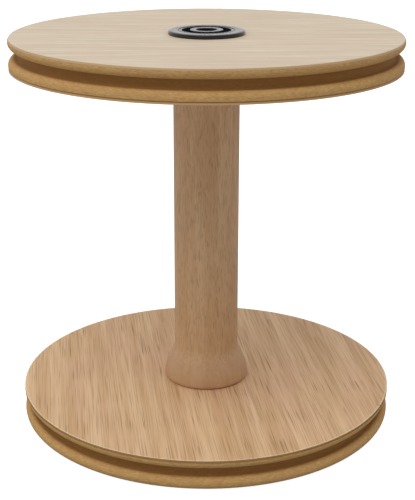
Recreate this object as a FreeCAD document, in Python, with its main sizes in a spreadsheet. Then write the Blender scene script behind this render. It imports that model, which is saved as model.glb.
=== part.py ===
import FreeCAD, Part
import math
import os
import re
import sys
from collections import namedtuple

import Sketcher

# A large spinning-wheel bobbin: two round end boards of veneered fibreboard, each with a band groove
# round its edge, joined by one turned hardwood barrel. A flanged cup pressed into the middle of each
# board holds a sealed ball bearing, so that the bobbin turns freely on a plain shaft.
#
# Frame: the spin axis is Z, and Z = 0 is the lower bearing's inner ring, the lowest face.
# Every piece is drawn as the lower one, in its place. An upper piece is the same drawing turned over,
# except that the groove lies a little to the other side of its board's middle.

SHEET = "dims"
DIMENSIONS = {
    # end boards: faces, rims and the band groove. The groove's outer lip is rounded right up to the
    # outer face. The rim of the inner face is a sharp edge, undercut down to the veneer's joint.
    "board_radius": 76.2,
    "board_thickness": 12.0,
    "veneer_thickness": 0.8,
    "edge_undercut": 0.35,
    "bead_round": 0.5,
    "hole_radius": 12.0,
    "groove_nose_radius": 1.9,
    "groove_depth": 4.8,
    "groove_lip_round": 2.4,
    "groove_offset": 0.3,
    # barrel: a plain middle with a bell-shaped foot on each board
    "winding_width": 131.4,
    "barrel_radius": 13.1,
    "foot_radius": 17.3,
    "foot_round": 1.5,
    "bell_radius": 14.0,
    "cove_radius": 11.0,
    "flare_angle": 25.0,
    "tenon_length": 5.2,
    "tunnel_radius": 5.5,
    # flanged cup
    "flange_radius": 14.85,
    "flange_edge": 1.3,
    "crown_rise": 0.25,
    "crown_width": 1.2,
    "cup_floor": 0.9,
    "cup_opening_radius": 9.0,
    # ball bearing
    "shaft_radius": 4.0,
    "bearing_radius": 11.0,
    "bearing_width": 7.0,
    "inner_ring_radius": 6.4,
    "inner_ring_proud": 0.15,
    "ring_chamfer": 0.3,
    "shoulder_radius": 8.9,
    "seal_radius": 9.6,
    "seal_recess": 0.5,
    "seal_thickness": 0.45,
    "seal_gap": 0.1,
    "ball_count": 7,
    "ball_radius": 1.9845,
    "ball_pitch_radius": 7.5,
    "race_clearance": 0.045,
    "pocket_clearance": 0.07,
    "cage_inner_radius": 6.6,
    "cage_outer_radius": 8.6,
    "cage_back": 1.05,
    "cage_reach": 0.9,
}

# Heights above the lowest face, written with the names above.
RING_FACE = "inner_ring_proud"
RING_BACK = f"({RING_FACE} + bearing_width)"
RACE_HEIGHT = f"({RING_FACE} + bearing_width / 2)"
BOARD_FACE = f"({RING_FACE} + crown_rise + flange_edge)"
INNER_FACE = f"({BOARD_FACE} + board_thickness)"
BOARD_MIDDLE = f"({BOARD_FACE} + board_thickness / 2)"
# The groove's centre to the widest part of either lip.
HALF_MOUTH = "(groove_nose_radius + groove_lip_round)"
OVERALL_HEIGHT = f"(2 * {INNER_FACE} + winding_width)"

# A corner of an outline. Its edge runs straight to the next corner, or as an arc of radius arc
# that bends left or right of the way it runs.
Corner = namedtuple("Corner", "radius height arc bend", defaults=(None, None))
LEFT, RIGHT = 1, -1


def bound(expression):
    """The expression with each dimension's name made a reference to the spreadsheet."""
    return re.sub(r"[a-z]+(?:_[a-z]+)+", lambda name: f"{SHEET}.{name[0]}", expression)


def make_sheet(doc):
    """Writes the driving dimensions in millimetres, degrees and counts, one row each."""
    sheet = doc.addObject("Spreadsheet::Sheet", SHEET)
    for row, (alias, value) in enumerate(DIMENSIONS.items(), start=1):
        sheet.set(f"A{row}", alias.replace("_", " "))
        sheet.set(f"B{row}", str(value))
        sheet.setAlias(f"B{row}", alias)
    doc.recompute()


def value_of(sketch, expression):
    """The number that an expression gives now."""
    value = sketch.evalExpression(bound(expression))
    return float(getattr(value, "Value", value))


def edge_between(start, end, arc_radius, bend):
    """A straight edge, or the smaller arc of that radius whose centre lies on the bend's side."""
    if arc_radius is None:
        return Part.LineSegment(start, end)
    chord = end - start
    across = FreeCAD.Vector(-chord.y, chord.x, 0).normalize() * bend
    reach = math.sqrt(max(arc_radius**2 - (chord.Length / 2) ** 2, 0))
    centre = (start + end) * 0.5 + across * reach
    first, last = (start, end) if bend == LEFT else (end, start)
    circle = Part.Circle(centre, FreeCAD.Vector(0, 0, 1), arc_radius)
    angles = [math.atan2(p.y - centre.y, p.x - centre.x) for p in (first, last)]
    return Part.ArcOfCircle(circle, *angles)


def draw_outline(sketch, corners):
    """Draws a closed outline and binds each corner and arc radius to its expression."""
    places = [
        FreeCAD.Vector(value_of(sketch, c.radius), value_of(sketch, c.height), 0) for c in corners
    ]
    count = len(corners)
    for i, corner in enumerate(corners):
        arc_radius = value_of(sketch, corner.arc) if corner.arc else None
        sketch.addGeometry(edge_between(places[i], places[(i + 1) % count], arc_radius, corner.bend))
    # Points 1 and 2 are an edge's ends. An arc runs anticlockwise, so one that bends right starts
    # at its far corner.
    starts = [2 if c.bend == RIGHT else 1 for c in corners]
    for i in range(count):
        j = (i + 1) % count
        sketch.addConstraint(Sketcher.Constraint("Coincident", i, 3 - starts[i], j, starts[j]))
    for i, corner in enumerate(corners):
        place_corner(sketch, i, starts[i], corner, places[i])
        if corner.arc:
            bind(sketch, Sketcher.Constraint("Radius", i, value_of(sketch, corner.arc)), corner.arc)


def place_corner(sketch, edge, point, corner, place):
    """Holds a corner at its radius and height. One that is zero lies on the sketch's own axis."""
    for axis, kind, expression, value in (
        (-2, "DistanceX", corner.radius, place.x),
        (-1, "DistanceY", corner.height, place.y),
    ):
        if expression == "0":
            sketch.addConstraint(Sketcher.Constraint("PointOnObject", edge, point, axis))
        else:
            bind(sketch, Sketcher.Constraint(kind, -1, 1, edge, point, value), expression)


def bind(sketch, constraint, expression):
    """Adds a dimension to a sketch and ties it to its expression."""
    index = sketch.addConstraint(constraint)
    sketch.setExpression(f"Constraints[{index}]", bound(expression))


def origin_feature(body, role):
    """One of a body's own origin planes or axes."""
    return next(f for f in body.Origin.OriginFeatures if f.Role == role)


def turned_piece(doc, label, corners):
    """A body turned about Z from the closed outline of one side of its section."""
    body = doc.addObject("PartDesign::Body", label)
    sketch = body.newObject("Sketcher::SketchObject", f"{label}_section")
    sketch.AttachmentSupport = [(origin_feature(body, "XZ_Plane"), "")]
    sketch.MapMode = "FlatFace"
    draw_outline(sketch, corners)
    turning = body.newObject("PartDesign::Revolution", f"{label}_turning")
    turning.Profile = sketch
    turning.ReferenceAxis = (sketch, ["V_Axis"])
    turning.Angle = 360
    body.Tip = turning
    return body


def sphere_ring(body, kind, radius):
    """Adds or cuts spheres at the ball places, spaced evenly round the pitch circle."""
    sphere = body.newObject(f"PartDesign::{kind}Sphere", f"{body.Name}_sphere")
    sphere.setExpression("Radius", bound(radius))
    sphere.setExpression("Placement.Base.x", bound("ball_pitch_radius"))
    sphere.setExpression("Placement.Base.z", bound(RACE_HEIGHT))
    pattern = body.newObject("PartDesign::PolarPattern", f"{body.Name}_pattern")
    pattern.Originals = [sphere]
    pattern.Axis = (origin_feature(body, "Z_Axis"), [""])
    pattern.Angle = 360
    pattern.setExpression("Occurrences", bound("ball_count"))
    body.Tip = pattern


def lip_radius(groove, height):
    """How far out the lip beside the outer face comes at a height. The groove is centred at groove."""
    below = f"({groove} - {HALF_MOUTH} - ({height}))"
    return f"board_radius - groove_lip_round + sqrt(groove_lip_round ^ 2 - {below} ^ 2)"


def board_core(doc, label, groove):
    """The fibreboard of an end board. Its round-bottomed band groove is centred at the height groove."""
    bead_height = "sqrt(bead_round ^ 2 - (bead_round - edge_undercut) ^ 2)"
    nose_centre = "board_radius - groove_depth + groove_nose_radius"
    lip_edge = "board_radius - groove_lip_round"
    bottom, top = f"{BOARD_FACE} + veneer_thickness", f"{INNER_FACE} - veneer_thickness"
    return turned_piece(doc, label, [
        Corner("hole_radius", bottom),
        Corner(lip_radius(groove, bottom), bottom, "groove_lip_round", LEFT),
        Corner(lip_edge, f"{groove} - groove_nose_radius"),
        Corner(nose_centre, f"{groove} - groove_nose_radius", "groove_nose_radius", RIGHT),
        Corner("board_radius - groove_depth", groove, "groove_nose_radius", RIGHT),
        Corner(nose_centre, f"{groove} + groove_nose_radius"),
        Corner(lip_edge, f"{groove} + groove_nose_radius", "groove_lip_round", LEFT),
        Corner("board_radius", f"{groove} + {HALF_MOUTH}"),
        Corner("board_radius", f"{top} - {bead_height}", "bead_round", LEFT),
        Corner("board_radius - edge_undercut", top),
        Corner("hole_radius", top),
    ])


def outer_veneer(doc, label, groove):
    """The veneer on the face of a board that looks away from the barrel, cut round with the lip."""
    joint = f"{BOARD_FACE} + veneer_thickness"
    return turned_piece(doc, label, [
        Corner("hole_radius", BOARD_FACE),
        Corner(lip_radius(groove, BOARD_FACE), BOARD_FACE, "groove_lip_round", LEFT),
        Corner(lip_radius(groove, joint), joint),
        Corner("hole_radius", joint),
    ])


def inner_veneer(doc, label):
    """The veneer on the face of a board that the barrel stands on."""
    joint = f"{INNER_FACE} - veneer_thickness"
    return turned_piece(doc, label, [
        Corner("hole_radius", joint),
        Corner("board_radius - edge_undercut", joint),
        Corner("board_radius", INNER_FACE),
        Corner("hole_radius", INNER_FACE),
    ])


def barrel(doc):
    """The turned barrel: tenon, rounded foot, bell, cove and plain middle, the same at each end."""
    bell_in = "bell_radius * (1 - cos(flare_angle))"
    bell_up = "bell_radius * sin(flare_angle)"
    cove_in = "cove_radius * (1 - cos(flare_angle))"
    cove_up = "cove_radius * sin(flare_angle)"
    straight_up = f"(foot_radius - barrel_radius - {bell_in} - {cove_in}) / tan(flare_angle)"
    foot = [
        ("hole_radius", "-tenon_length", None, None),
        ("hole_radius", "0", None, None),
        ("foot_radius - foot_round", "0", "foot_round", LEFT),
        ("foot_radius", "foot_round", "bell_radius", LEFT),
        (f"foot_radius - {bell_in}", f"foot_round + {bell_up}", None, None),
        (f"barrel_radius + {cove_in}", f"foot_round + {bell_up} + {straight_up}", "cove_radius", RIGHT),
        ("barrel_radius", f"foot_round + {bell_up} + {straight_up} + {cove_up}", None, None),
    ]
    lower = [Corner(r, f"{INNER_FACE} + {height}", arc, bend) for r, height, arc, bend in foot]
    # The upper foot is the lower one upside down, so its edges are met in the opposite order and
    # each arc belongs to the corner before it.
    upper = []
    for i in reversed(range(len(foot))):
        arc, bend = foot[i - 1][2:] if i else (None, None)
        upper.append(Corner(foot[i][0], f"{OVERALL_HEIGHT} - {INNER_FACE} - ({foot[i][1]})", arc, bend))
    ends = [
        Corner("tunnel_radius", f"{OVERALL_HEIGHT} - {INNER_FACE} + tenon_length"),
        Corner("tunnel_radius", f"{INNER_FACE} - tenon_length"),
    ]
    return turned_piece(doc, "barrel", lower + upper + ends)


def bearing_cup(doc, label):
    """The pressed-in cup: a crowned flange on the board's face and a shell round the bearing."""
    return turned_piece(doc, label, [
        Corner("bearing_radius", RING_FACE),
        Corner("flange_radius - crown_width", RING_FACE,
               "(crown_width ^ 2 + crown_rise ^ 2) / (2 * crown_rise)", LEFT),
        Corner("flange_radius", f"{RING_FACE} + crown_rise"),
        Corner("flange_radius", BOARD_FACE),
        Corner("hole_radius", BOARD_FACE),
        Corner("hole_radius", f"{RING_BACK} + cup_floor"),
        Corner("cup_opening_radius", f"{RING_BACK} + cup_floor"),
        Corner("cup_opening_radius", RING_BACK),
        Corner("bearing_radius", RING_BACK),
    ])


def ball_track(land, first, last):
    """The two corners of a ball track in a wall at the radius land, met below then above the balls'
    height ("-" then "+"), or the other way round."""
    track_radius = "(ball_radius + race_clearance)"
    half = f"sqrt({track_radius} ^ 2 - (ball_pitch_radius - {land}) ^ 2)"
    return [
        Corner(land, f"{RACE_HEIGHT} {first} {half}", track_radius, RIGHT),
        Corner(land, f"{RACE_HEIGHT} {last} {half}"),
    ]


def outer_ring(doc, label):
    """The bearing's outer ring, with its ball track and a stepped seat for a seal at each end."""
    seat = "(seal_recess + seal_thickness)"
    return turned_piece(doc, label, [
        Corner("seal_radius", RING_FACE),
        Corner("bearing_radius - ring_chamfer", RING_FACE),
        Corner("bearing_radius", f"{RING_FACE} + ring_chamfer"),
        Corner("bearing_radius", f"{RING_BACK} - ring_chamfer"),
        Corner("bearing_radius - ring_chamfer", RING_BACK),
        Corner("seal_radius", RING_BACK),
        Corner("seal_radius", f"{RING_BACK} - {seat}"),
        Corner("shoulder_radius", f"{RING_BACK} - {seat}"),
        *ball_track("shoulder_radius", "+", "-"),
        Corner("shoulder_radius", f"{RING_FACE} + {seat}"),
        Corner("seal_radius", f"{RING_FACE} + {seat}"),
    ])


def inner_ring(doc, label):
    """The bearing's inner ring, which the shaft passes through and stands a little proud."""
    back = f"{RING_BACK} + inner_ring_proud"
    return turned_piece(doc, label, [
        Corner("shaft_radius + ring_chamfer", "0"),
        Corner("inner_ring_radius", "0"),
        *ball_track("inner_ring_radius", "-", "+"),
        Corner("inner_ring_radius", back),
        Corner("shaft_radius + ring_chamfer", back),
        Corner("shaft_radius", f"{back} - ring_chamfer"),
        Corner("shaft_radius", "ring_chamfer"),
    ])


def seal(doc, label, near_face):
    """A flat rubber seal in its seat, at the height near_face, with its lip just off the inner ring."""
    lip = "inner_ring_radius + seal_gap"
    return turned_piece(doc, label, [
        Corner(lip, near_face),
        Corner("seal_radius", near_face),
        Corner("seal_radius", f"{near_face} + seal_thickness"),
        Corner(lip, f"{near_face} + seal_thickness"),
    ])


def ball_cage(doc, label):
    """A crown cage: a ring with a spherical pocket for each ball, open on the far side."""
    back = f"{RING_FACE} + cage_back"
    front = f"{RACE_HEIGHT} + cage_reach"
    body = turned_piece(doc, label, [
        Corner("cage_inner_radius", back),
        Corner("cage_outer_radius", back),
        Corner("cage_outer_radius", front),
        Corner("cage_inner_radius", front),
    ])
    sphere_ring(body, "Subtractive", "ball_radius + pocket_clearance")
    return body


def ball_set(doc, label):
    """The bearing's balls, separate solids on one pitch circle."""
    body = doc.addObject("PartDesign::Body", label)
    body.AllowCompound = True
    sphere_ring(body, "Additive", "ball_radius")
    return body


def end_pieces(doc, side):
    """Every piece of one end, drawn as the lower end."""
    # Both grooves lie a little above the middle of their board as the bobbin stands.
    groove = f"({BOARD_MIDDLE} {'+' if side == 'lower' else '-'} groove_offset)"
    return [
        outer_veneer(doc, f"{side}_outer_veneer", groove),
        board_core(doc, f"{side}_board_core", groove),
        inner_veneer(doc, f"{side}_inner_veneer"),
        bearing_cup(doc, f"{side}_bearing_cup"),
        outer_ring(doc, f"{side}_outer_ring"),
        inner_ring(doc, f"{side}_inner_ring"),
        ball_cage(doc, f"{side}_ball_cage"),
        ball_set(doc, f"{side}_balls"),
        seal(doc, f"{side}_outer_seal", f"{RING_FACE} + seal_recess"),
        seal(doc, f"{side}_inner_seal", f"{RING_BACK} - seal_recess - seal_thickness"),
    ]


def turn_over(body):
    """Stands a lower piece on its head at the top of the bobbin."""
    body.Placement = FreeCAD.Placement(
        FreeCAD.Vector(0, 0, 0), FreeCAD.Rotation(FreeCAD.Vector(1, 0, 0), 180)
    )
    body.setExpression("Placement.Base.z", bound(OVERALL_HEIGHT))


def faults(doc, pieces):
    """What is wrong with the document or with a piece's shape, in words."""
    found = [
        f"{obj.Label}: {state}"
        for obj in doc.Objects
        for state in obj.State
        if state in ("Invalid", "Error")
    ]
    for piece in pieces:
        if piece.Shape.isNull() or not piece.Shape.isValid() or not piece.Shape.Solids:
            found.append(f"{piece.Label}: the shape is missing or not valid")
    return found


def main():
    doc = FreeCAD.newDocument("bobbin")
    make_sheet(doc)
    lower = end_pieces(doc, "lower")
    upper = end_pieces(doc, "upper")
    for body in upper:
        turn_over(body)
    pieces = [barrel(doc), *lower, *upper]
    doc.recompute()
    found = faults(doc, pieces)
    if found:
        sys.exit("\n".join(found))
    os.makedirs("parts", exist_ok=True)
    for piece in pieces:
        piece.Shape.exportStep(f"parts/{piece.Label}.step")


main()
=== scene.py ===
import math

import bmesh
import bpy
import numpy as np
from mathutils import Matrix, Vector


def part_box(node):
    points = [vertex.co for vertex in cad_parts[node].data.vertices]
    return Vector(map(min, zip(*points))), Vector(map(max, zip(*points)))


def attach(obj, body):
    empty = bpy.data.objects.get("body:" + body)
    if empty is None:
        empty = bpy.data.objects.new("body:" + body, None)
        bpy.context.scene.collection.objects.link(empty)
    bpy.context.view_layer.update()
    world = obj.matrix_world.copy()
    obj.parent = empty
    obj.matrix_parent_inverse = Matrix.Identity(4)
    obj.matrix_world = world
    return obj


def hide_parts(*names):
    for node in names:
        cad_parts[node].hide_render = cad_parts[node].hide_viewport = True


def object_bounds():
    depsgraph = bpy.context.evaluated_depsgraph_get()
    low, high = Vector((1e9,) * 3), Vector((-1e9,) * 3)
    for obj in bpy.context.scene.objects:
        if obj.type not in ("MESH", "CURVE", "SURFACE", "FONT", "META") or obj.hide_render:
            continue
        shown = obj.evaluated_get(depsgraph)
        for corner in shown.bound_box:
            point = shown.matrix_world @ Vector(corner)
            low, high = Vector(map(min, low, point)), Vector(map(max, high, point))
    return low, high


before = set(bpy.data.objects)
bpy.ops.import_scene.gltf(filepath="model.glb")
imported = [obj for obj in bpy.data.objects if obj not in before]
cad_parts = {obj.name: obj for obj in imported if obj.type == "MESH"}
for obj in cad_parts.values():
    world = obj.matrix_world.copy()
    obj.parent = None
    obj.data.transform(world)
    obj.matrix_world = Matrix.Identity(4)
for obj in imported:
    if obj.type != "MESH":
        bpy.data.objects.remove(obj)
cad_low, cad_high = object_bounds()

# A spinning-wheel bobbin. Every visible piece is turned about Z from an outline of its own, in the
# place its CAD node gives, and rides on the node's body. Lengths are in metres.

MM = 0.001
SIDES = ("lower", "upper")
ROOT = "bobbin"

# Sizes of details that no node's box gives.
BEAD_ROUND = 0.5 * MM
EDGE_UNDERCUT = 0.35 * MM
LIP_ROUND = 2.4 * MM
NOSE_RADIUS = 1.9 * MM
GROOVE_DEPTH = 4.8 * MM
GROOVE_OFFSET = 0.3 * MM
SEAM_GAP = 0.08 * MM
BARREL_RADIUS = 13.1 * MM
FOOT_ROUND = 1.5 * MM
BELL_RADIUS = 14.0 * MM
COVE_RADIUS = 11.0 * MM
FLARE_ANGLE = 25.0
CROWN_RISE = 0.25 * MM
CROWN_WIDTH = 1.2 * MM
RING_CHAMFER = 0.3 * MM
RACE_CLEARANCE = 0.045 * MM

# How far back the small rounds on edges start.
EDGE_BREAK = 0.12 * MM
FINE_BREAK = 0.06 * MM
VENEER_BREAK = 0.1 * MM
FLANGE_BREAK = 0.1 * MM
SEAT_BREAK = 0.2 * MM

# How finely the outlines and the turning are divided, the turn in degrees from which a corner is
# shaded sharp, and how close two points are to count as one.
FACE_STEP = 5 * MM
JOINT_STEP = 10 * MM
BARREL_STEP = 1.5 * MM
BOARD_SEGMENTS = 384
TURNED_SEGMENTS = 192
SHARP_ANGLE = 40.0
SAME_POINT = 1e-7

# The direction of the open-pored veneer's grain, turned from the Y axis towards -X.
GRAIN_TURN = math.radians(7)

# The room's light: its even level, its extra light from above and from the left, and the backdrop's.
SKY_BASE = 0.3
SKY_CEILING = 0.35
SKY_LEFT = 0.2
SKY_BACKDROP = 0.7
KEY_PLACE = (-0.35, -0.75, 1.35)
KEY_SIZE = 0.9
KEY_POWER = 7.5

# The floor. It lies just below the lower bearing, so that their faces do not share a plane.
FLOOR_RADIUS = 12.0
FLOOR_GAP = 0.02 * MM
FLOOR_GLOW = 0.93

# The camera: its lens in millimetres, for a sensor 36 mm along the picture's longer side, its shift
# as a share of that side, its place as multiples of the boards' diameter, in front of the axis and
# above the lower board's outer face, and how far it looks down and is rolled, in radians.
LENS = 84.53
LENS_SHIFT = (0.0024, -0.001)
EYE_DISTANCE = 2.989
EYE_HEIGHT = 1.4656
LOOK_DOWN = 0.3298
ROLL = 0.0015


# ---------------------------------------------------------------- outlines and turned meshes

def radii(name):
    """The smallest and largest radius of a CAD node about Z."""
    spans = [math.hypot(v.co.x, v.co.y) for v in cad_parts[name].data.vertices]
    return min(spans), max(spans)


def heights(name):
    """The lowest and highest Z of a CAD node."""
    low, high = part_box(name)
    return low.z, high.z


def arc(centre, radius, start, end, steps):
    """Points on a circle from one angle to another, in degrees, anticlockwise if end is larger."""
    return [
        (centre[0] + radius * math.cos(a), centre[1] + radius * math.sin(a))
        for a in np.radians(np.linspace(start, end, steps + 1))
    ]


def line(start, end, step):
    """Points from start to end, no further apart than step."""
    count = max(1, math.ceil(math.dist(start, end) / step))
    return [tuple(np.array(start) + (np.array(end) - start) * i / count) for i in range(count + 1)]


def tidy(outline):
    """The outline without repeated points."""
    kept = []
    for point in outline:
        if not kept or math.dist(point, kept[-1]) > SAME_POINT:
            kept.append(point)
    if math.dist(kept[0], kept[-1]) < SAME_POINT:
        kept.pop()
    return kept


def turned(name, outline, segments):
    """A closed outline of (radius, height) points turned about Z, with its real corners left sharp."""
    outline = tidy(outline)
    count = len(outline)
    mesh = bpy.data.meshes.new(name)
    bm = bmesh.new()
    angles = [2 * math.pi * s / segments for s in range(segments)]
    rings = [[bm.verts.new((r * math.cos(a), r * math.sin(a), z)) for a in angles] for r, z in outline]
    for i in range(count):
        here, after = rings[i], rings[(i + 1) % count]
        for s in range(segments):
            t = (s + 1) % segments
            bm.faces.new((here[s], here[t], after[t], after[s])).smooth = True
    bmesh.ops.recalc_face_normals(bm, faces=bm.faces)
    for i in range(count):
        before, at, after = (Vector(outline[(i + k) % count]) for k in (-1, 0, 1))
        if math.degrees((at - before).angle(after - at)) > SHARP_ANGLE:
            for s in range(segments):
                bm.edges.get((rings[i][s], rings[i][(s + 1) % segments])).smooth = False
    bm.to_mesh(mesh)
    bm.free()
    piece = bpy.data.objects.new(name, mesh)
    bpy.context.scene.collection.objects.link(piece)
    return piece


def stand_for(piece, name, material, body):
    """Puts a piece in the place of a CAD node: its material and its body."""
    piece.data.materials.append(material)
    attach(piece, body)
    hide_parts(name)
    return piece


# ---------------------------------------------------------------- the pieces

def end_piece(side, name, outline, segments):
    """A turned piece from an outline drawn for the lower end, turned over for the upper end."""
    total = cad_high.z
    placed = outline if side == "lower" else [(r, total - z) for r, z in reversed(outline)]
    return turned(f"{side}_{name}", placed, segments)


def groove_middle(side):
    """The height of a board's groove, with the board lying as the lower one does."""
    face = heights("lower_outer_veneer")[0]
    back = heights("lower_inner_veneer")[1]
    return (face + back) / 2 + GROOVE_OFFSET * (1 if side == "lower" else -1)


def outer_lip(side, low, high, steps):
    """The round from a board's outer face into its groove, from one height to another."""
    radius = radii("lower_board_core")[1]
    centre = (radius - LIP_ROUND, groove_middle(side) - NOSE_RADIUS - LIP_ROUND)
    sines = np.clip([(low - centre[1]) / LIP_ROUND, (high - centre[1]) / LIP_ROUND], -1, 1)
    return arc(centre, LIP_ROUND, *np.degrees(np.arcsin(sines)), steps)


def outer_veneer(side):
    """The outer face's veneer. The lip is rounded up to the face, which cuts it off at an edge."""
    face, joint = heights("lower_outer_veneer")
    hole = radii("lower_board_core")[0]
    rim = outer_lip(side, face, joint - SEAM_GAP / 2, 6)
    edge = broken(rim[0], (hole, face), rim[1], FINE_BREAK)
    outline = line((hole, face), edge[0], FACE_STEP) + edge[1:] + rim[1:]
    outline += line((rim[-1][0] - SEAM_GAP, joint), (hole, joint), JOINT_STEP)
    return end_piece(side, "outer_sheet", outline, BOARD_SEGMENTS)


def inner_veneer(side):
    """The inner face's veneer, with a sharp edge that is undercut down to its joint."""
    joint, face = heights("lower_inner_veneer")
    hole, radius = radii("lower_board_core")
    joint_edge = (radius - EDGE_UNDERCUT, joint)
    outline = line((hole, joint), (joint_edge[0] - SEAM_GAP, joint), JOINT_STEP) + [joint_edge]
    outline += broken((radius, face), joint_edge, (hole, face), VENEER_BREAK)
    outline += line(outline[-1], (hole, face), FACE_STEP)
    return end_piece(side, "inner_sheet", outline, BOARD_SEGMENTS)


def grooved_core(side):
    """The fibreboard core: the two rounded lips, the groove and the bead at the inner veneer."""
    low, high = heights("lower_board_core")
    hole, radius = radii("lower_board_core")
    middle = groove_middle(side)
    lower_lip = outer_lip(side, low + SEAM_GAP / 2, middle - NOSE_RADIUS, 18)
    nose = radius - GROOVE_DEPTH + NOSE_RADIUS
    root = arc((nose, middle), NOSE_RADIUS, 270, 90, 24)
    mouth = NOSE_RADIUS + LIP_ROUND
    upper_lip = arc((radius - LIP_ROUND, middle + mouth), LIP_ROUND, -90, 0, 14)
    turn = math.degrees(math.acos(1 - EDGE_UNDERCUT / BEAD_ROUND))
    bead_centre = high - BEAD_ROUND * math.sin(math.radians(turn))
    bead = arc((radius - BEAD_ROUND, bead_centre), BEAD_ROUND, 0, turn, 10)
    outline = [(hole, low), (lower_lip[0][0] - SEAM_GAP, low)]
    outline += lower_lip + root + upper_lip + bead
    outline += [(bead[-1][0] - SEAM_GAP, high), (hole, high)]
    return end_piece(side, "grooved_core", outline, BOARD_SEGMENTS)


def barrel_piece():
    """The barrel: tenon, foot, bell, cove, plain middle, and the same upside down."""
    low, high = heights("barrel")
    tunnel, foot = radii("barrel")
    board_top = heights("lower_inner_veneer")[1]
    tenon = radii("lower_board_core")[0]
    bell = arc((foot - BELL_RADIUS, FOOT_ROUND), BELL_RADIUS, 0, FLARE_ANGLE, 10)
    cove_start = BARREL_RADIUS + COVE_RADIUS * (1 - math.cos(math.radians(FLARE_ANGLE)))
    rise = (bell[-1][0] - cove_start) / math.tan(math.radians(FLARE_ANGLE))
    cove_base = bell[-1][1] + rise
    cove_top = cove_base + COVE_RADIUS * math.sin(math.radians(FLARE_ANGLE))
    cove = arc((BARREL_RADIUS + COVE_RADIUS, cove_top), COVE_RADIUS, 180 + FLARE_ANGLE, 180, 10)
    round_foot = arc((foot - FOOT_ROUND, FOOT_ROUND), FOOT_ROUND, -90, 0, 6)
    flare = [(r, z + board_top) for r, z in round_foot + bell + cove]
    middle = (low + high) / 2
    lower = [(tenon, low), (tenon, board_top)] + flare
    lower += line(lower[-1], (BARREL_RADIUS, middle), BARREL_STEP)
    upper = [(r, 2 * middle - z) for r, z in reversed(lower)]
    return turned("turned_barrel", lower + upper + [(tunnel, high), (tunnel, low)], TURNED_SEGMENTS)


def broken(corner, before, after, size=EDGE_BREAK):
    """The points of a small round on a corner between two straight runs."""
    corner, before, after = (np.array(p) for p in (corner, before, after))
    start = corner + (before - corner) / np.linalg.norm(before - corner) * size
    end = corner + (after - corner) / np.linalg.norm(after - corner) * size
    return [
        tuple((1 - t) ** 2 * start + 2 * t * (1 - t) * corner + t**2 * end)
        for t in (0.0, 0.25, 0.5, 0.75, 1.0)
    ]


def eased(corners):
    """A closed outline whose every corner is slightly rounded."""
    count = len(corners)
    points = []
    for i, corner in enumerate(corners):
        points += broken(corner, corners[i - 1], corners[(i + 1) % count])
    return points


def cup(side):
    """The flanged cup, with its crowned face and the shell that holds the bearing."""
    opening, flange = radii("lower_bearing_cup")
    shell = radii("lower_board_core")[0]
    seat = radii("lower_outer_ring")[1]
    face, back = heights("lower_bearing_cup")
    board = heights("lower_outer_veneer")[0]
    ring_back = heights("lower_outer_ring")[1]
    crown_radius = (CROWN_WIDTH**2 + CROWN_RISE**2) / (2 * CROWN_RISE)
    sweep = math.degrees(math.asin(CROWN_WIDTH / crown_radius))
    crown = arc((flange - CROWN_WIDTH, face + crown_radius), crown_radius, -90, -90 + sweep, 10)
    rim = broken(crown[-1], crown[-2], (flange, board), FLANGE_BREAK)
    outline = (
        broken((seat, face), (seat, ring_back), crown[0], SEAT_BREAK)
        + crown[:-1]
        + rim
        + [(flange, board), (shell, board), (shell, back), (opening, back)]
        + [(opening, ring_back), (seat, ring_back)]
    )
    return end_piece(side, "flanged_cup", outline, TURNED_SEGMENTS)


def outer_race(side):
    """The bearing's outer ring. Its ball track is hidden behind the seals, and is the CAD one's."""
    node = "lower_outer_ring"
    shoulder, outside = radii(node)
    low, high = heights(node)
    seat = radii("lower_outer_seal")[1]
    near, far = heights("lower_outer_seal")[1], heights("lower_inner_seal")[0]
    track = ball_track(node, outward=True)
    corners = (
        eased([
            (outside - RING_CHAMFER, low), (outside, low + RING_CHAMFER),
            (outside, high - RING_CHAMFER), (outside - RING_CHAMFER, high), (seat, high),
        ])
        + [(seat, far), (shoulder, far)]
        + track
        + [(shoulder, near), (seat, near)]
        + broken((seat, low), (seat, near), (outside, low))
    )
    return end_piece(side, "outer_race", corners, TURNED_SEGMENTS)


def ball_track(node, outward):
    """The points of the ball track in a ring's wall, met from high to low if it opens outward."""
    balls_low, balls_high = heights("lower_balls")
    centre_z = (balls_low + balls_high) / 2
    ball = (balls_high - balls_low) / 2
    pitch = radii("lower_balls")[1] - ball
    wall_low, wall_high = radii(node)
    wall = wall_low if outward else wall_high
    radius = ball + RACE_CLEARANCE
    reach = math.degrees(math.acos(abs(wall - pitch) / radius))
    if outward:
        return arc((pitch, centre_z), radius, reach, -reach, 12)
    return arc((pitch, centre_z), radius, 180 + reach, 180 - reach, 12)


def inner_race(side):
    """The inner ring, chamfered at the shaft bore."""
    node = "lower_inner_ring"
    bore, outside = radii(node)
    low, high = heights(node)
    track = ball_track(node, outward=False)
    chamfer = bore + RING_CHAMFER
    outline = (
        broken((chamfer, low), (bore, low + RING_CHAMFER), (outside, low), FINE_BREAK)
        + broken((outside, low), (chamfer, low), (outside, high))
        + track
        + broken((outside, high), (outside, low), (bore, high))
        + broken((chamfer, high), (outside, high), (bore, high - RING_CHAMFER), FINE_BREAK)
        + [(bore, high - RING_CHAMFER), (bore, low + RING_CHAMFER)]
    )
    return end_piece(side, "inner_race", outline, TURNED_SEGMENTS)


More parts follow.
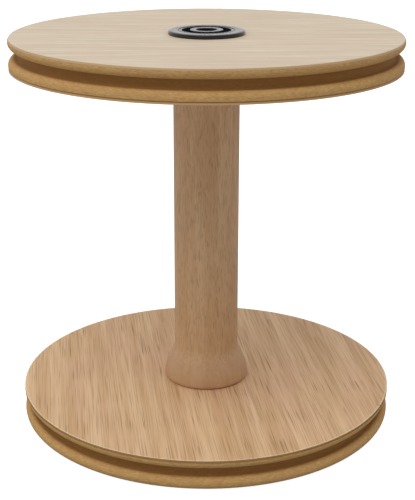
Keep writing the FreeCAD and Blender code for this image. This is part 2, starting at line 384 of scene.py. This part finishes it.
def moulded_seal(side):
    """The rubber seal, with a raised rim, a shallow moulded channel and a lip at the inner ring."""
    node = "lower_outer_seal"
    lip, rim = radii(node)
    low, high = heights(node)
    ease = 0.1 * MM
    lip_ease = 0.12 * MM
    lip_width = 0.45 * MM
    lip_slope = 0.15 * MM
    rim_width = 0.6 * MM
    rim_slope = 0.2 * MM
    channel = low + 0.15 * MM
    outline = (
        [(lip, high), (lip, low + ease), (lip + lip_ease, low)]
        + [(lip + lip_width, low), (lip + lip_width + lip_slope, channel)]
        + [(rim - rim_width - rim_slope, channel), (rim - rim_width, low)]
        + [(rim - ease, low), (rim, low + ease), (rim, high)]
    )
    return end_piece(side, "rubber_seal", outline, TURNED_SEGMENTS)


# ---------------------------------------------------------------- shader nodes

def tone(red, green, blue):
    """A display colour, 0 to 255 a channel, in linear light."""
    return tuple(
        c / 12.92 if c <= 0.04045 else ((c + 0.055) / 1.055) ** 2.4
        for c in (red / 255, green / 255, blue / 255)
    ) + (1.0,)


def new_tree(name):
    """A new material's empty node tree."""
    material = bpy.data.materials.new(name)
    material.use_nodes = True
    material.node_tree.nodes.clear()
    return material, material.node_tree


def node(tree, kind, inputs=None, **settings):
    """Adds a shader node. An input that is given a socket is linked to it, and any other is set."""
    made = tree.nodes.new("ShaderNode" + kind)
    for name, value in settings.items():
        setattr(made, name, value)
    for name, value in (inputs or {}).items():
        if isinstance(value, bpy.types.NodeSocket):
            tree.links.new(value, made.inputs[name])
        else:
            made.inputs[name].default_value = value
    return made


def maths(tree, operation, first, second=0.0):
    """One step of arithmetic."""
    return node(tree, "Math", {0: first, 1: second}, operation=operation).outputs[0]


def remap(tree, value, low, high, to_low=0.0, to_high=1.0):
    """value taken smoothly from low..high to to_low..to_high, and held at the ends."""
    inputs = {"Value": value, "From Min": low, "From Max": high, "To Min": to_low, "To Max": to_high}
    return node(tree, "MapRange", inputs, interpolation_type="SMOOTHSTEP").outputs["Result"]


def mixed(tree, share, first, second):
    """Two colours mixed by share."""
    return node(tree, "Mix", {0: share, 6: first, 7: second}, data_type="RGBA").outputs[2]


def position(tree):
    """The point's place in the row frame, in metres."""
    return node(tree, "TexCoord").outputs["Object"]


def features(tree, size, turn=0.0, shift=(0.0, 0.0, 0.0)):
    """Coordinates in which one feature is one unit, whatever its real width, length and height."""
    inputs = {"Vector": position(tree), "Rotation": (0, 0, turn), "Scale": size, "Location": shift}
    return node(tree, "Mapping", inputs, vector_type="TEXTURE").outputs["Vector"]


def height_above(tree):
    """The point's height above the bobbin's lowest face."""
    return node(tree, "SeparateXYZ", {0: position(tree)}).outputs[2]


def off_axis(tree):
    """The point's distance from the spin axis."""
    out = node(tree, "VectorMath", {0: position(tree), 1: (1, 1, 0)}, operation="MULTIPLY").outputs[0]
    return node(tree, "VectorMath", {0: out}, operation="LENGTH").outputs["Value"]


def round_features(tree, radius, size):
    """The same as features, but measured round the rim, across it and along Z."""
    parts = node(tree, "SeparateXYZ", {0: position(tree)}).outputs
    angle = maths(tree, "ARCTAN2", parts[1], parts[0])
    around = maths(tree, "MULTIPLY", angle, radius / size[0])
    across = maths(tree, "DIVIDE", off_axis(tree), size[1])
    inputs = {0: around, 1: across, 2: maths(tree, "DIVIDE", parts[2], size[2])}
    return node(tree, "CombineXYZ", inputs).outputs[0]


def cloud(tree, vector, detail=2.0, roughness=0.5, distortion=0.0):
    """Smooth noise, about 0.5 in the middle."""
    inputs = {"Vector": vector, "Scale": 1.0, "Detail": detail}
    inputs.update({"Roughness": roughness, "Distortion": distortion})
    return node(tree, "TexNoise", inputs).outputs[0]


def dashes(tree, vector, share, width):
    """Separate marks, 1 in their middles. share is how many cells hold one, width its size in a cell."""
    cells = node(tree, "TexVoronoi", {"Vector": vector, "Scale": 1.0})
    mark = remap(tree, cells.outputs["Distance"], width, width * 0.35)
    lot = node(tree, "SeparateColor", {0: cells.outputs["Color"]}).outputs[0]
    return maths(tree, "MULTIPLY", mark, maths(tree, "LESS_THAN", lot, share))


def streaks(tree, vector, low, high):
    """Marks where smooth noise peaks, as long and as wide as the coordinates make them."""
    return remap(tree, cloud(tree, vector, 0.0), low, high)


def painted_arris_highlight(tree, radius, width):
    """A painted highlight along a board's arris, at that radius, broken into short lengths."""
    edge = remap(tree, off_axis(tree), radius - width, radius - width / 4)
    lengths = cloud(tree, round_features(tree, radius, (0.9 * MM, 1, 1)))
    return maths(tree, "MULTIPLY", edge, remap(tree, lengths, 0.4, 0.6, 0.2, 0.8))


def painted_edge_shade(tree):
    """Where a veneer's surface turns from its face to its steeper cut edge: the mask for painted shade
    there.
    """
    normal = node(tree, "NewGeometry").outputs["True Normal"]
    slope = maths(tree, "ABSOLUTE", node(tree, "SeparateXYZ", {0: normal}).outputs[2])
    return remap(tree, slope, 0.9, 0.7)


def surface(tree, colour, roughness, height, depth, **others):
    """A Principled surface with a bump whose full height is depth."""
    bump = node(tree, "Bump", {"Strength": 1.0, "Distance": depth, "Height": height})
    inputs = {"Base Color": colour, "Roughness": roughness, "Normal": bump.outputs["Normal"]}
    inputs.update({name.replace("_", " "): value for name, value in others.items()})
    shader = node(tree, "BsdfPrincipled", inputs)
    node(tree, "OutputMaterial", {"Surface": shader.outputs["BSDF"]})


# ---------------------------------------------------------------- materials

def pale_veneer():
    """Sanded close-grained veneer: nearly plain, with faint streaks across the view."""
    material, tree = new_tree("pale_veneer")
    stripes = cloud(tree, features(tree, (45 * MM, 3.2 * MM, 1)), 4.0, 0.6)
    mottle = cloud(tree, features(tree, (16 * MM, 11 * MM, 1)), 3.0, 0.55)
    fine = cloud(tree, features(tree, (6 * MM, 0.45 * MM, 1)), 2.0, 0.6)
    flecks = dashes(tree, features(tree, (7 * MM, 0.8 * MM, 1)), 0.3, 0.3)
    colour = mixed(tree, remap(tree, stripes, 0.35, 0.65), tone(233, 216, 191), tone(218, 198, 170))
    colour = mixed(tree, remap(tree, mottle, 0.35, 0.7, 0.0, 0.5), colour, tone(228, 205, 183))
    colour = mixed(tree, remap(tree, fine, 0.4, 0.75, 0.0, 0.22), colour, tone(205, 184, 155))
    colour = mixed(tree, maths(tree, "MULTIPLY", flecks, 0.16), colour, tone(176, 148, 112))
    # Painted shade on the veneer's steep cut edge.
    colour = mixed(tree, painted_edge_shade(tree), colour, tone(198, 164, 122))
    roughness = remap(tree, mottle, 0.3, 0.7, 0.5, 0.62)
    height = maths(tree, "SUBTRACT", fine, maths(tree, "MULTIPLY", flecks, 0.8))
    surface(tree, colour, roughness, height, 0.03 * MM, Specular_IOR_Level=0.4)
    return material


def open_grain_veneer():
    """Open-pored veneer: straight grain, long tonal bands and thin dark pores that run with it,
    closer together in some places than in others."""
    material, tree = new_tree("open_grain_veneer")
    bands = cloud(tree, features(tree, (6 * MM, 180 * MM, 1), GRAIN_TURN), 3.0, 0.6)
    sheen = cloud(tree, features(tree, (1.2 * MM, 40 * MM, 1), GRAIN_TURN), 3.0, 0.6)
    blush = cloud(tree, features(tree, (22 * MM, 45 * MM, 1), GRAIN_TURN), 2.0, 0.5)
    fine_pores = streaks(tree, features(tree, (0.36 * MM, 26 * MM, 1), GRAIN_TURN), 0.5, 0.75)
    shifted = features(tree, (0.38 * MM, 24 * MM, 1), GRAIN_TURN, (30 * MM, 20 * MM, 0))
    patches = cloud(tree, features(tree, (16 * MM, 50 * MM, 1), GRAIN_TURN), 2.0, 0.5)
    crowded = remap(tree, patches, 0.4, 0.6, 0.3, 1.0)
    bold_pores = maths(tree, "MULTIPLY", streaks(tree, shifted, 0.66, 0.75), crowded)
    colour = mixed(tree, remap(tree, bands, 0.35, 0.65), tone(239, 204, 161), tone(218, 178, 132))
    colour = mixed(tree, remap(tree, blush, 0.4, 0.65, 0.0, 0.38), colour, tone(233, 189, 156))
    colour = mixed(tree, remap(tree, sheen, 0.45, 0.75, 0.0, 0.35), colour, tone(201, 157, 109))
    colour = mixed(tree, maths(tree, "MULTIPLY", fine_pores, 0.38), colour, tone(165, 122, 80))
    colour = mixed(tree, maths(tree, "MULTIPLY", bold_pores, 0.6), colour, tone(132, 92, 56))
    radius = radii("lower_board_core")[1]
    # Painted highlight: a broken bright line along the veneer's outer arris.
    colour = mixed(tree, painted_arris_highlight(tree, radius, 0.9 * MM), colour, tone(255, 232, 192))
    # Painted shade on the veneer's steep cut edges and undercut wall.
    colour = mixed(tree, painted_edge_shade(tree), colour, tone(196, 154, 106))
    pores = maths(tree, "MAXIMUM", maths(tree, "MULTIPLY", fine_pores, 0.5), bold_pores)
    height = maths(tree, "SUBTRACT", maths(tree, "MULTIPLY", sheen, 0.5), pores)
    roughness = remap(tree, pores, 0.0, 1.0, 0.55, 0.8)
    surface(tree, colour, roughness, height, 0.06 * MM, Specular_IOR_Level=0.35)
    return material


def fibreboard(side):
    """Bare cut fibreboard: speckled fibres along the cut, darker at one glue line, and a deeper brown in
    the groove that is partly painted shade.
    """
    material, tree = new_tree(f"{side}_fibreboard")
    radius = radii(f"{side}_board_core")[1]
    seam = heights(f"{side}_board_core")[1 if side == "lower" else 0]
    fibres = cloud(tree, round_features(tree, radius, (1.6 * MM, 0.35 * MM, 0.25 * MM)), 3.0, 0.6)
    lumps = cloud(tree, round_features(tree, radius, (6 * MM, 3 * MM, 1.2 * MM)), 2.0, 0.5)
    specks = dashes(tree, round_features(tree, radius, (0.9 * MM, 0.5 * MM, 0.5 * MM)), 0.08, 0.35)
    colour = mixed(tree, remap(tree, fibres, 0.3, 0.7), tone(186, 142, 82), tone(216, 175, 114))
    colour = mixed(tree, remap(tree, lumps, 0.4, 0.7, 0.0, 0.45), colour, tone(196, 148, 98))
    colour = mixed(tree, maths(tree, "MULTIPLY", specks, 0.35), colour, tone(104, 70, 38))
    away = maths(tree, "ABSOLUTE", maths(tree, "SUBTRACT", height_above(tree), seam))
    glue = remap(tree, away, 0.5 * MM, 0.12 * MM)
    colour = mixed(tree, maths(tree, "MULTIPLY", glue, 0.6), colour, tone(112, 76, 44))
    # Deeper in the groove: a more saturated brown, and painted shade.
    groove = remap(tree, off_axis(tree), radius - 1.0 * MM, radius - 3.0 * MM)
    colour = mixed(tree, maths(tree, "MULTIPLY", groove, 0.65), colour, tone(150, 98, 36))
    roughness = remap(tree, fibres, 0.3, 0.7, 0.72, 0.9)
    surface(tree, colour, roughness, fibres, 0.12 * MM, Specular_IOR_Level=0.25)
    return material


def barrel_wood():
    """Turned and sanded hardwood: soft long figure and fine short pores along the barrel. Painted shade
    darkens it towards the lower end. The flares cut across the grain and show fewer pores; they are
    darker too, partly from the end grain and partly from painted shade at the feet."""
    material, tree = new_tree("barrel_wood")
    figure = cloud(tree, features(tree, (7 * MM, 7 * MM, 70 * MM)), 3.0, 0.6, 0.4)
    sheen = cloud(tree, features(tree, (1.4 * MM, 1.4 * MM, 26 * MM)), 3.0, 0.6)
    curl = cloud(tree, features(tree, (5 * MM, 5 * MM, 9 * MM)), 3.0, 0.55, 1.2)
    pores = streaks(tree, features(tree, (0.45 * MM, 0.45 * MM, 4 * MM)), 0.5, 0.7)
    shifted = features(tree, (0.5 * MM, 0.5 * MM, 4 * MM), 0.0, (30 * MM, 20 * MM, 10 * MM))
    bold = streaks(tree, shifted, 0.65, 0.76)
    flare = remap(tree, off_axis(tree), BARREL_RADIUS, BARREL_RADIUS + 3 * MM)
    plain = maths(tree, "SUBTRACT", 1.0, maths(tree, "MULTIPLY", flare, 0.7))
    colour = mixed(tree, remap(tree, figure, 0.3, 0.7), tone(223, 188, 146), tone(208, 168, 125))
    colour = mixed(tree, remap(tree, sheen, 0.4, 0.75, 0.0, 0.4), colour, tone(193, 151, 110))
    colour = mixed(tree, remap(tree, curl, 0.45, 0.7, 0.0, 0.35), colour, tone(224, 183, 149))
    # Painted shade: darker towards the lower end.
    lower_end_shade = remap(tree, height_above(tree), 95 * MM, 35 * MM)
    colour = mixed(tree, maths(tree, "MULTIPLY", lower_end_shade, 0.3), colour, tone(182, 138, 94))
    # The flares darker: partly end grain taking more finish, partly painted shade at the feet.
    colour = mixed(tree, maths(tree, "MULTIPLY", flare, 0.3), colour, tone(178, 134, 98))
    marks = maths(tree, "MAXIMUM", maths(tree, "MULTIPLY", pores, 0.6), bold)
    marks = maths(tree, "MULTIPLY", marks, plain)
    colour = mixed(tree, maths(tree, "MULTIPLY", marks, 0.32), colour, tone(122, 87, 58))
    height = maths(tree, "SUBTRACT", maths(tree, "MULTIPLY", sheen, 0.4), marks)
    roughness = remap(tree, curl, 0.3, 0.7, 0.42, 0.56)
    surface(tree, colour, roughness, height, 0.04 * MM, Specular_IOR_Level=0.45)
    return material


def black_moulding():
    """Smooth black moulded cup: faint turned lines, handling dust and slightly uneven gloss."""
    material, tree = new_tree("black_cup")
    rings = cloud(tree, round_features(tree, 10 * MM, (30 * MM, 0.12 * MM, 0.12 * MM)), 2.0, 0.6)
    dust = cloud(tree, features(tree, (0.7 * MM, 0.7 * MM, 0.7 * MM)), 4.0, 0.7)
    colour = mixed(tree, remap(tree, dust, 0.55, 0.8, 0.0, 0.35), tone(14, 15, 14), tone(48, 48, 44))
    roughness = remap(tree, dust, 0.3, 0.75, 0.12, 0.26)
    surface(tree, colour, roughness, rings, 0.003 * MM, Specular_IOR_Level=0.5)
    return material


def black_steel():
    """Black-oxide steel rings: dark metal with fine grinding lines round them."""
    material, tree = new_tree("black_ring")
    lines = cloud(tree, round_features(tree, 6 * MM, (40 * MM, 0.06 * MM, 0.06 * MM)), 3.0, 0.6)
    wear = cloud(tree, features(tree, (1.1 * MM, 1.1 * MM, 1.1 * MM)), 3.0, 0.6)
    colour = mixed(tree, remap(tree, wear, 0.5, 0.8), tone(26, 26, 28), tone(58, 56, 55))
    roughness = remap(tree, wear, 0.3, 0.7, 0.14, 0.28)
    surface(tree, colour, roughness, lines, 0.002 * MM, Specular_IOR_Level=0.6)
    return material


def seal_rubber():
    """Matte black rubber with a fine moulded texture."""
    material, tree = new_tree("seal_rubber")
    grain = cloud(tree, features(tree, (0.15 * MM, 0.15 * MM, 0.15 * MM)), 3.0, 0.6)
    colour = mixed(tree, remap(tree, grain, 0.4, 0.8), tone(5, 5, 5), tone(14, 14, 14))
    roughness = remap(tree, grain, 0.3, 0.7, 0.85, 0.95)
    surface(tree, colour, roughness, grain, 0.01 * MM, Specular_IOR_Level=0.04)
    return material


def cage_nylon():
    """Natural moulded nylon, slightly mottled."""
    material, tree = new_tree("cage_nylon")
    mottle = cloud(tree, features(tree, (0.8 * MM, 0.8 * MM, 0.8 * MM)), 3.0, 0.6)
    colour = mixed(tree, remap(tree, mottle, 0.3, 0.7), tone(206, 196, 168), tone(190, 178, 146))
    roughness = remap(tree, mottle, 0.3, 0.7, 0.35, 0.5)
    surface(tree, colour, roughness, mottle, 0.01 * MM)
    return material


def ball_steel():
    """Polished bearing balls with a faint film of grease."""
    material, tree = new_tree("ball_steel")
    film = cloud(tree, features(tree, (0.9 * MM, 0.9 * MM, 0.9 * MM)), 3.0, 0.6)
    colour = mixed(tree, remap(tree, film, 0.4, 0.8), tone(226, 226, 228), tone(204, 198, 186))
    roughness = remap(tree, film, 0.3, 0.7, 0.06, 0.2)
    surface(tree, colour, roughness, film, 0.002 * MM, Metallic=1.0)
    return material


# ---------------------------------------------------------------- the stage

def floor():
    """A wide round floor of pale paper. The camera sees it brighter than it lights the bobbin, which
    keeps it white with only a faint shadow."""
    mesh = bpy.data.meshes.new("floor")
    bm = bmesh.new()
    bm.faces.new([
        bm.verts.new((FLOOR_RADIUS * math.cos(a), FLOOR_RADIUS * math.sin(a), -FLOOR_GAP))
        for a in np.radians(np.arange(0, 360, 5))
    ])
    bm.to_mesh(mesh)
    bm.free()
    sheet = bpy.data.objects.new("floor", mesh)
    bpy.context.scene.collection.objects.link(sheet)
    material, tree = new_tree("pale_paper")
    tooth = cloud(tree, features(tree, (2 * MM, 2 * MM, 2 * MM)), 3.0, 0.6)
    colour = mixed(tree, tooth, tone(184, 184, 183), tone(192, 192, 192))
    seen = node(tree, "LightPath").outputs["Is Camera Ray"]
    glow = maths(tree, "MULTIPLY", seen, FLOOR_GLOW)
    inputs = {"Base Color": colour, "Roughness": 0.9}
    inputs.update({"Emission Color": (1, 1, 1, 1), "Emission Strength": glow})
    shader = node(tree, "BsdfPrincipled", inputs)
    node(tree, "OutputMaterial", {"Surface": shader.outputs["BSDF"]})
    sheet.data.materials.append(material)


def softbox(name, place, target, size, power):
    """A square area light that faces the target."""
    light = bpy.data.lights.new(name, "AREA")
    light.shape = "SQUARE"
    light.size = size
    light.energy = power
    lamp = bpy.data.objects.new(name, light)
    lamp.location = place
    lamp.rotation_euler = (Vector(target) - Vector(place)).to_track_quat("-Z", "Y").to_euler()
    bpy.context.scene.collection.objects.link(lamp)


def surroundings():
    """A dim white room that brightens upwards and to the left, with a lit backdrop low behind."""
    world = bpy.data.worlds.new("white_room")
    world.use_nodes = True
    tree = world.node_tree
    tree.nodes.clear()
    direction = node(tree, "SeparateXYZ", {0: node(tree, "TexCoord").outputs["Generated"]}).outputs
    ceiling = maths(tree, "MULTIPLY", maths(tree, "MAXIMUM", direction[2], 0.0), SKY_CEILING)
    left = maths(tree, "MULTIPLY", maths(tree, "MINIMUM", direction[0], 0.0), -SKY_LEFT)
    low = remap(tree, direction[2], 0.5, 0.1)
    behind = remap(tree, direction[1], -0.8, 0.3)
    backdrop = maths(tree, "MULTIPLY", maths(tree, "MULTIPLY", low, behind), SKY_BACKDROP)
    sides = maths(tree, "ADD", left, backdrop)
    total = maths(tree, "ADD", maths(tree, "ADD", ceiling, sides), SKY_BASE)
    light = node(tree, "Background", {"Color": (1.0, 1.0, 1.0, 1.0), "Strength": total})
    node(tree, "OutputWorld", {"Surface": light.outputs["Background"]})
    bpy.context.scene.world = world


def studio():
    """The white room and a large soft light, high in front and to the left."""
    surroundings()
    centre = (cad_low + cad_high) / 2
    softbox("key", centre + Vector(KEY_PLACE), centre, KEY_SIZE, KEY_POWER)


def camera():
    """A long lens somewhat above the upper board, looking down at the whole bobbin."""
    diameter = cad_high.x - cad_low.x
    base = heights("lower_outer_veneer")[0]
    lens = bpy.data.cameras.new("camera")
    lens.sensor_width = 36.0
    lens.lens = LENS
    lens.shift_x, lens.shift_y = LENS_SHIFT
    lens.clip_start = 0.01
    lens.clip_end = 20.0
    eye = bpy.data.objects.new("camera", lens)
    eye.location = (0.0, -EYE_DISTANCE * diameter, base + EYE_HEIGHT * diameter)
    eye.rotation_mode = "ZXY"
    eye.rotation_euler = (math.pi / 2 - LOOK_DOWN, 0.0, ROLL)
    bpy.context.scene.collection.objects.link(eye)
    bpy.context.scene.camera = eye
    bpy.context.scene.view_settings.view_transform = "Standard"


# ---------------------------------------------------------------- assembly

def build():
    """Makes every piece and puts it in its CAD node's place."""
    wood, pale, open_grain = barrel_wood(), pale_veneer(), open_grain_veneer()
    moulding, steel, rubber = black_moulding(), black_steel(), seal_rubber()
    nylon, chrome = cage_nylon(), ball_steel()
    stand_for(barrel_piece(), "barrel", wood, ROOT)
    for side in SIDES:
        fibre = fibreboard(side)
        for piece, name, material, slot_name in (
            (outer_veneer(side), "outer_veneer", pale, "pale_veneer"),
            (inner_veneer(side), "inner_veneer", open_grain, "open_grain_veneer"),
            (grooved_core(side), "board_core", fibre, "fibreboard"),
            (cup(side), "bearing_cup", moulding, "black_cup"),
            (outer_race(side), "outer_ring", steel, "black_ring"),
            (moulded_seal(side), "outer_seal", rubber, "seal_rubber"),
        ):
            stand_for(piece, f"{side}_{name}", material, ROOT)
        ring = f"{side}_inner_ring"
        stand_for(inner_race(side), ring, steel, ring)
        for name, material in (("inner_seal", rubber), ("ball_cage", nylon), ("balls", chrome)):
            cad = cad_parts[f"{side}_{name}"]
            cad.data.materials.clear()
            cad.data.materials.append(material)


build()
floor()
studio()
camera()
